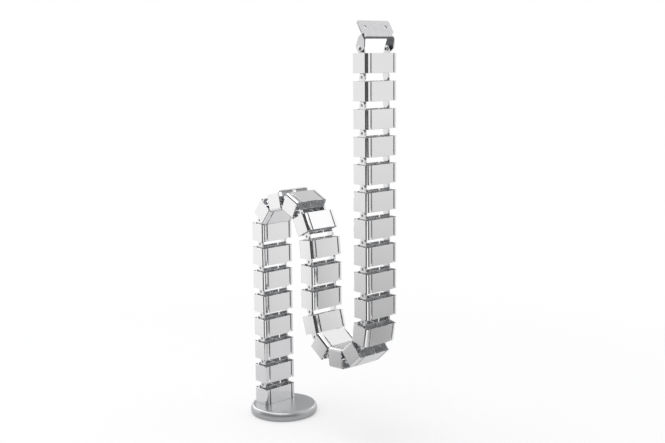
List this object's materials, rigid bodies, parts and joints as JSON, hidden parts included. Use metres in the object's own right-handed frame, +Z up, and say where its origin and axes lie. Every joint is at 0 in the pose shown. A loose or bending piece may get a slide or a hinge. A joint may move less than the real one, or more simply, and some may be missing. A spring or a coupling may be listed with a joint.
{
  "type": "cable spine",
  "caption": "Chain of hinged four-channel cable links on a round weighted base, folded in an S, with a steel screw bracket on top.",
  "frame": {"origin": "middle of the base's underside", "axes": "+Z up, +X along the hinges, -Y the side to which the spine folds"},
  "size_m": [0.117, 0.3055, 0.6729],
  "materials": {
    "silver_plastic": "glossy silver lacquered moulded plastic",
    "painted_steel": "silver painted solid steel, glossy",
    "zinc_steel": "zinc plated steel sheet and fasteners",
    "pad_rubber": "matt black rubber"
  },
  "bodies": {
    "base": {"weighted_base": "painted_steel", "foot_pad": "pad_rubber", "base_screw_1": "zinc_steel", "base_screw_2": "zinc_steel", "link_01": "silver_plastic"},
    "link_02": {"link_02": "silver_plastic"},
    "link_03": {"link_03": "silver_plastic"},
    "link_04": {"link_04": "silver_plastic"},
    "link_05": {"link_05": "silver_plastic"},
    "link_06": {"link_06": "silver_plastic"},
    "link_07": {"link_07": "silver_plastic"},
    "link_08": {"link_08": "silver_plastic"},
    "link_09": {"link_09": "silver_plastic"},
    "link_10": {"link_10": "silver_plastic"},
    "link_11": {"link_11": "silver_plastic"},
    "link_12": {"link_12": "silver_plastic"},
    "link_13": {"link_13": "silver_plastic"},
    "link_14": {"link_14": "silver_plastic"},
    "link_15": {"link_15": "silver_plastic"},
    "link_16": {"link_16": "silver_plastic"},
    "link_17": {"link_17": "silver_plastic"},
    "link_18": {"link_18": "silver_plastic"},
    "link_19": {"link_19": "silver_plastic"},
    "link_20": {"link_20": "silver_plastic"},
    "link_21": {"link_21": "silver_plastic"},
    "link_22": {"link_22": "silver_plastic"},
    "link_23": {"link_23": "silver_plastic"},
    "link_24": {"link_24": "silver_plastic"},
    "link_25": {"link_25": "silver_plastic"},
    "link_26": {"link_26": "silver_plastic"},
    "link_27": {"link_27": "silver_plastic"},
    "link_28": {"link_28": "silver_plastic"},
    "link_29": {"link_29": "silver_plastic"},
    "link_30": {"link_30": "silver_plastic"},
    "bracket": {"bracket": "zinc_steel", "bracket_rivet_left": "zinc_steel", "bracket_rivet_right": "zinc_steel"}
  },
  "joints": [
    {"name": "hinge_02", "type": "hinge", "parent": "base", "child": "link_02", "pos_m": [0, 0.024, 0.0495], "axis": [1, 0, 0], "range_deg": [-38.7, 38.7]},
    {"name": "hinge_03", "type": "hinge", "parent": "link_02", "child": "link_03", "pos_m": [0, 0.024, 0.0915], "axis": [-1, 0, 0], "range_deg": [-38.7, 38.7]},
    {"name": "hinge_04", "type": "hinge", "parent": "link_03", "child": "link_04", "pos_m": [0, 0.024, 0.1335], "axis": [1, 0, 0], "range_deg": [-38.7, 38.7]},
    {"name": "hinge_05", "type": "hinge", "parent": "link_04", "child": "link_05", "pos_m": [0, 0.024, 0.1755], "axis": [-1, 0, 0], "range_deg": [-38.7, 38.7]},
    {"name": "hinge_06", "type": "hinge", "parent": "link_05", "child": "link_06", "pos_m": [0, 0.024, 0.2175], "axis": [1, 0, 0], "range_deg": [-38.7, 38.7]},
    {"name": "hinge_07", "type": "hinge", "parent": "link_06", "child": "link_07", "pos_m": [0, 0.024, 0.2595], "axis": [-1, 0, 0], "range_deg": [-38.7, 38.7]},
    {"name": "hinge_08", "type": "hinge", "parent": "link_07", "child": "link_08", "pos_m": [0, 0.024, 0.3015], "axis": [1, 0, 0], "range_deg": [-38.7, 36]},
    {"name": "hinge_09", "type": "hinge", "parent": "link_08", "child": "link_09", "pos_m": [0, 0.024, 0.3435], "axis": [-1, 0, 0], "range_deg": [-0.2, 77.2]},
    {"name": "hinge_10", "type": "hinge", "parent": "link_09", "child": "link_10", "pos_m": [0, -0.00215, 0.37637], "axis": [1, 0, 0], "range_deg": [-77.2, 0.2]},
    {"name": "hinge_11", "type": "hinge", "parent": "link_10", "child": "link_11", "pos_m": [0, -0.04307, 0.38582], "axis": [-1, 0, 0], "range_deg": [-0.2, 77.2]},
    {"name": "hinge_12", "type": "hinge", "parent": "link_11", "child": "link_12", "pos_m": [0, -0.08098, 0.36774], "axis": [1, 0, 0], "range_deg": [-77.2, 0.2]},
    {"name": "hinge_13", "type": "hinge", "parent": "link_12", "child": "link_13", "pos_m": [0, -0.09939, 0.32999], "axis": [-1, 0, 0], "range_deg": [-18.7, 58.7]},
    {"name": "hinge_14", "type": "hinge", "parent": "link_13", "child": "link_14", "pos_m": [0, -0.10378, 0.28822], "axis": [1, 0, 0], "range_deg": [-44.7, 32.7]},
    {"name": "hinge_15", "type": "hinge", "parent": "link_14", "child": "link_15", "pos_m": [0, -0.10378, 0.24622], "axis": [-1, 0, 0], "range_deg": [-38.7, 38.7]},
    {"name": "hinge_16", "type": "hinge", "parent": "link_15", "child": "link_16", "pos_m": [0, -0.10378, 0.20422], "axis": [1, 0, 0], "range_deg": [-22.7, 54.7]},
    {"name": "hinge_17", "type": "hinge", "parent": "link_16", "child": "link_17", "pos_m": [0, -0.11536, 0.16384], "axis": [-1, 0, 0], "range_deg": [-77.2, 0.2]},
    {"name": "hinge_18", "type": "hinge", "parent": "link_17", "child": "link_18", "pos_m": [0, -0.14955, 0.13945], "axis": [1, 0, 0], "range_deg": [-0.2, 77.2]},
    {"name": "hinge_19", "type": "hinge", "parent": "link_18", "child": "link_19", "pos_m": [0, -0.19149, 0.14165], "axis": [-1, 0, 0], "range_deg": [-77.2, 0.2]},
    {"name": "hinge_20", "type": "hinge", "parent": "link_19", "child": "link_20", "pos_m": [0, -0.22295, 0.16948], "axis": [1, 0, 0], "range_deg": [-0.2, 77.2]},
    {"name": "hinge_21", "type": "hinge", "parent": "link_20", "child": "link_21", "pos_m": [0, -0.23024, 0.21084], "axis": [-1, 0, 0], "range_deg": [-48.7, 28.7]},
    {"name": "hinge_22", "type": "hinge", "parent": "link_21", "child": "link_22", "pos_m": [0, -0.23024, 0.25284], "axis": [1, 0, 0], "range_deg": [-38.7, 38.7]},
    {"name": "hinge_23", "type": "hinge", "parent": "link_22", "child": "link_23", "pos_m": [0, -0.23024, 0.29484], "axis": [-1, 0, 0], "range_deg": [-38.7, 38.7]},
    {"name": "hinge_24", "type": "hinge", "parent": "link_23", "child": "link_24", "pos_m": [0, -0.23024, 0.33684], "axis": [1, 0, 0], "range_deg": [-38.7, 38.7]},
    {"name": "hinge_25", "type": "hinge", "parent": "link_24", "child": "link_25", "pos_m": [0, -0.23024, 0.37884], "axis": [-1, 0, 0], "range_deg": [-38.7, 38.7]},
    {"name": "hinge_26", "type": "hinge", "parent": "link_25", "child": "link_26", "pos_m": [0, -0.23024, 0.42084], "axis": [1, 0, 0], "range_deg": [-38.7, 38.7]},
    {"name": "hinge_27", "type": "hinge", "parent": "link_26", "child": "link_27", "pos_m": [0, -0.23024, 0.46284], "axis": [-1, 0, 0], "range_deg": [-38.7, 38.7]},
    {"name": "hinge_28", "type": "hinge", "parent": "link_27", "child": "link_28", "pos_m": [0, -0.23024, 0.50484], "axis": [1, 0, 0], "range_deg": [-38.7, 38.7]},
    {"name": "hinge_29", "type": "hinge", "parent": "link_28", "child": "link_29", "pos_m": [0, -0.23024, 0.54684], "axis": [-1, 0, 0], "range_deg": [-38.7, 38.7]},
    {"name": "hinge_30", "type": "hinge", "parent": "link_29", "child": "link_30", "pos_m": [0, -0.23024, 0.58884], "axis": [1, 0, 0], "range_deg": [-38.7, 38.7]},
    {"name": "bracket_hinge", "type": "hinge", "parent": "link_30", "child": "bracket", "pos_m": [0, -0.23024, 0.63084], "axis": [1, 0, 0], "range_deg": [-60, 30]}
  ]
}
